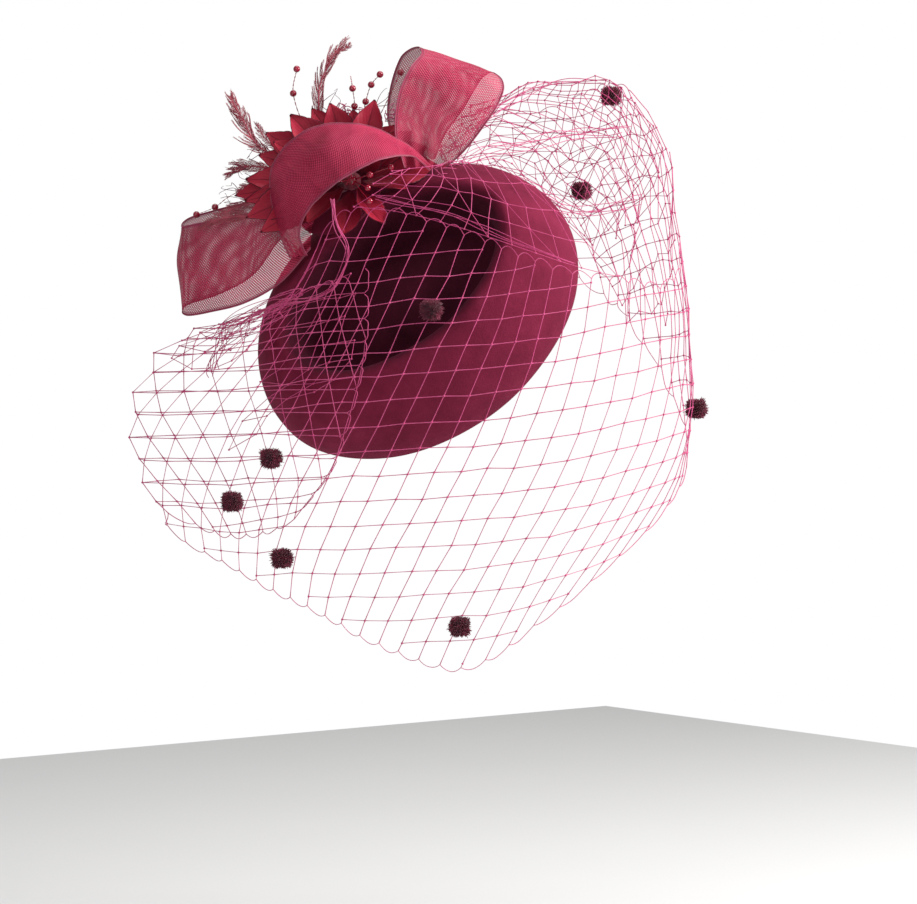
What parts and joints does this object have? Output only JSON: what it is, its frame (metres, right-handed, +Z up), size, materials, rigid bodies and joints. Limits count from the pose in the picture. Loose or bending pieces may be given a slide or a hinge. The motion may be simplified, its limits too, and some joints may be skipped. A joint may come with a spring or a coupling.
{
  "type": "fascinator headpiece",
  "caption": "Felt pillbox fascinator with crinoline loops, petal flower, beads, feathers and a dotted net veil, held by a comb and sprung clips.",
  "frame": {"origin": "middle of the hat's base opening, where the head holds it", "axes": "+Z up as worn, -Y toward the wearer's front, +X toward the wearer's left; the hat sits tilted on the wearer's right front"},
  "size_m": [0.2854, 0.2437, 0.3338],
  "materials": {
    "felt": "wool felt",
    "lining": "woven stiffener",
    "ribbon": "ribbed ribbon",
    "steel_wire": "drawn wire",
    "clip_steel": "plated",
    "comb": "polished",
    "crinoline": "braided horsehair ribbon",
    "petals": "satin",
    "beads": "glossy bead on filament",
    "feathers": "soft feather",
    "net": "stiff net",
    "chenille": "chenille pile"
  },
  "bodies": {
    "headpiece": {"felt_shell": "felt", "trim_base": "felt", "clip_front_tab": "felt", "clip_back_tab": "felt", "crown_lining": "lining", "sweatband": "ribbon", "stem_binding": "ribbon", "hem_wire": "steel_wire", "clip_front_base": "clip_steel", "clip_front_pin": "clip_steel", "clip_front_spring": "clip_steel", "clip_back_base": "clip_steel", "clip_back_pin": "clip_steel", "clip_back_spring": "clip_steel", "hair_comb": "comb", "crin_loop_left": "crinoline", "crin_loop_centre": "crinoline", "crin_loop_right": "crinoline", "petal_outer_1": "petals", "petal_outer_2": "petals", "petal_outer_3": "petals", "petal_outer_4": "petals", "petal_outer_5": "petals", "petal_outer_6": "petals", "petal_outer_7": "petals", "petal_inner_1": "petals", "petal_inner_2": "petals", "petal_inner_3": "petals", "petal_inner_4": "petals", "petal_inner_5": "petals", "petal_inner_6": "petals", "flower_core": "petals", "flower_stamens": "beads", "bead_spray_left": "beads", "bead_spray_upper_left": "beads", "bead_spray_middle": "beads", "bead_spray_right": "beads", "bead_spray_far_right": "beads", "feather_tall": "feathers", "feather_upper_left": "feathers", "feather_far_left": "feathers", "feather_on_loop": "feathers", "veil_net": "net", "veil_dot_top": "chenille", "veil_dot_upper": "chenille", "veil_dot_right": "chenille", "veil_dot_hat": "chenille", "veil_dot_left_high": "chenille", "veil_dot_left_low": "chenille", "veil_dot_hem": "chenille", "veil_dot_hem_left": "chenille"},
    "jaw_front": {"clip_front_jaw": "clip_steel"},
    "jaw_back": {"clip_back_jaw": "clip_steel"}
  },
  "joints": [
    {"name": "clip_front_hinge", "type": "hinge", "parent": "headpiece", "child": "jaw_front", "pos_m": [0.04855, -0.04628, 0.04182], "axis": [-0.6304, 0.4925, -0.6], "range_deg": [0, 35], "stiffness_Nm_per_rad": 0.03, "springref_deg": -20.05},
    {"name": "clip_back_hinge", "type": "hinge", "parent": "headpiece", "child": "jaw_back", "pos_m": [-0.05042, 0.03104, -0.05238], "axis": [-0.6304, 0.4925, -0.6], "range_deg": [0, 35], "stiffness_Nm_per_rad": 0.03, "springref_deg": -20.05}
  ]
}
